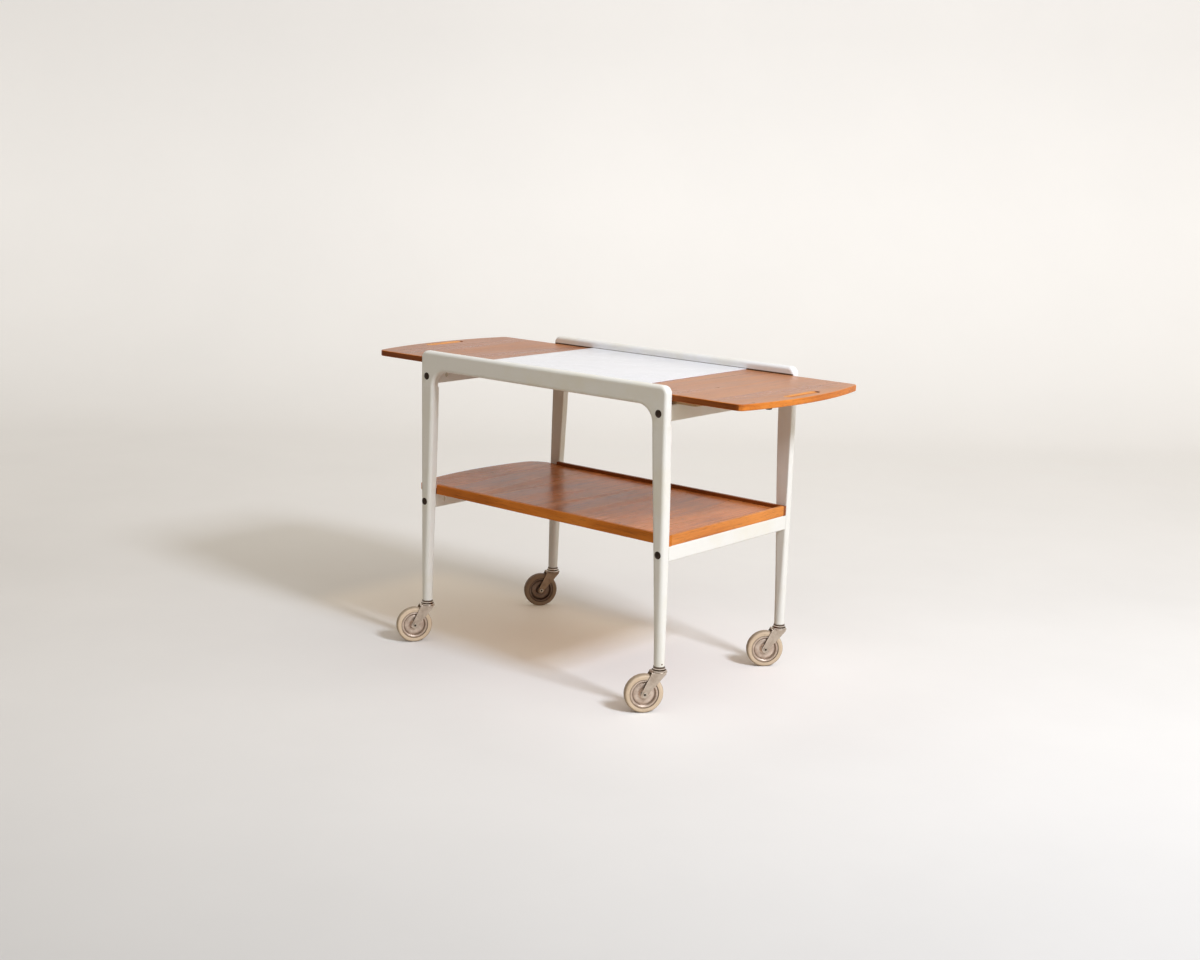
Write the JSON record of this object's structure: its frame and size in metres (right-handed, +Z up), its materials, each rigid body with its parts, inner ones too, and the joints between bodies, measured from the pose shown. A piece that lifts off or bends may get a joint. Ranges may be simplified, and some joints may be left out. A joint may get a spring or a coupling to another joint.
{
  "type": "drop leaf tea trolley",
  "caption": "Serving trolley on swivel casters, with a white painted frame, a white top plate between raised rails, sliding end leaves and a lower shelf.",
  "frame": {"origin": "on the floor, under the centre of the whole trolley's box at rest; the trolley's own centre plane is at Y = 22.3 mm, because the near wheels trail outwards", "axes": "+Z up, +X along the trolley towards the end with the shelf's raised lip, -Y the near long side"},
  "size_m": [1.062, 0.5028, 0.663],
  "materials": {
    "white_paint": "semi-gloss white paint on solid wood",
    "white_plate": "white enamelled sheet",
    "plain_beech": "stained hardwood, plain oiled",
    "leaf_wood": "veneered board, satin lacquer",
    "shelf_wood": "veneered board, satin lacquer",
    "edge_wood": "solid edging, satin lacquer",
    "dark_bronze": "dark oxidised bronze",
    "zinc_steel": "bright zinc",
    "caster_metal": "satin nickel plate",
    "hub_metal": "satin nickel plate, spun",
    "cream_rubber": "matt cream rubber"
  },
  "bodies": {
    "frame": {"caster_sockets": "zinc_steel", "caster_stems": "zinc_steel", "centre_member": "plain_beech", "centre_member_dowels": "plain_beech", "far_left_leg": "white_paint", "far_rail": "white_paint", "far_right_leg": "white_paint", "left_lower_cross_rail": "white_paint", "left_upper_cross_rail": "white_paint", "lower_barrel_nuts": "zinc_steel", "lower_frame_bolts": "dark_bronze", "near_left_leg": "white_paint", "near_rail": "white_paint", "near_right_leg": "white_paint", "right_lower_cross_rail": "white_paint", "right_upper_cross_rail": "white_paint", "shelf_board": "shelf_wood", "shelf_far_lip": "edge_wood", "shelf_near_lip": "edge_wood", "shelf_right_lip": "edge_wood", "shelf_screws": "zinc_steel", "swivel_cups": "caster_metal", "top_plate": "white_plate", "upper_barrel_nuts": "zinc_steel", "upper_frame_bolts": "dark_bronze"},
    "right_leaf": {"right_leaf_board": "leaf_wood", "right_leaf_far_bearer": "plain_beech", "right_leaf_near_bearer": "plain_beech", "right_leaf_screws": "zinc_steel", "right_leaf_stop_blocks": "plain_beech", "right_leaf_stop_pegs": "plain_beech"},
    "left_leaf": {"left_leaf_board": "leaf_wood", "left_leaf_far_bearer": "plain_beech", "left_leaf_near_bearer": "plain_beech", "left_leaf_screws": "zinc_steel", "left_leaf_stop_blocks": "plain_beech", "left_leaf_stop_pegs": "plain_beech"},
    "near_left_swivel": {"near_left_caster_fork": "caster_metal", "near_left_caster_axle": "caster_metal"},
    "near_left_wheel": {"near_left_caster_hub": "hub_metal", "near_left_caster_tyre": "cream_rubber"},
    "near_right_swivel": {"near_right_caster_fork": "caster_metal", "near_right_caster_axle": "caster_metal"},
    "near_right_wheel": {"near_right_caster_hub": "hub_metal", "near_right_caster_tyre": "cream_rubber"},
    "far_left_swivel": {"far_left_caster_fork": "caster_metal", "far_left_caster_axle": "caster_metal"},
    "far_left_wheel": {"far_left_caster_hub": "hub_metal", "far_left_caster_tyre": "cream_rubber"},
    "far_right_swivel": {"far_right_caster_fork": "caster_metal", "far_right_caster_axle": "caster_metal"},
    "far_right_wheel": {"far_right_caster_hub": "hub_metal", "far_right_caster_tyre": "cream_rubber"}
  },
  "joints": [
    {"name": "right_leaf_slide", "type": "slide", "parent": "frame", "child": "right_leaf", "axis": [-1, 0, 0], "range_m": [0, 0.137]},
    {"name": "left_leaf_slide", "type": "slide", "parent": "frame", "child": "left_leaf", "axis": [1, 0, 0], "range_m": [0, 0.137]},
    {"name": "near_left_caster_swivel", "type": "hinge", "parent": "frame", "child": "near_left_swivel", "pos_m": [-0.3355, -0.18824, 0.083], "axis": [0, 0, 1], "continuous": true},
    {"name": "near_left_wheel_spin", "type": "hinge", "parent": "near_left_swivel", "child": "near_left_wheel", "pos_m": [-0.35183, -0.21388, 0.04], "axis": [0.8434, -0.5373, 0], "continuous": true},
    {"name": "near_right_caster_swivel", "type": "hinge", "parent": "frame", "child": "near_right_swivel", "pos_m": [0.3355, -0.18824, 0.083], "axis": [0, 0, 1], "continuous": true},
    {"name": "near_right_wheel_spin", "type": "hinge", "parent": "near_right_swivel", "child": "near_right_wheel", "pos_m": [0.31678, -0.21219, 0.04], "axis": [0.788, -0.6157, 0], "continuous": true},
    {"name": "far_left_caster_swivel", "type": "hinge", "parent": "frame", "child": "far_left_swivel", "pos_m": [-0.3355, 0.23276, 0.083], "axis": [0, 0, 1], "continuous": true},
    {"name": "far_left_wheel_spin", "type": "hinge", "parent": "far_left_swivel", "child": "far_left_wheel", "pos_m": [-0.3525, 0.20756, 0.04], "axis": [0.829, -0.5592, 0], "continuous": true},
    {"name": "far_right_caster_swivel", "type": "hinge", "parent": "frame", "child": "far_right_swivel", "pos_m": [0.3355, 0.23276, 0.083], "axis": [0, 0, 1], "continuous": true},
    {"name": "far_right_wheel_spin", "type": "hinge", "parent": "far_right_swivel", "child": "far_right_wheel", "pos_m": [0.31516, 0.21017, 0.04], "axis": [0.7431, -0.6691, 0], "continuous": true}
  ]
}
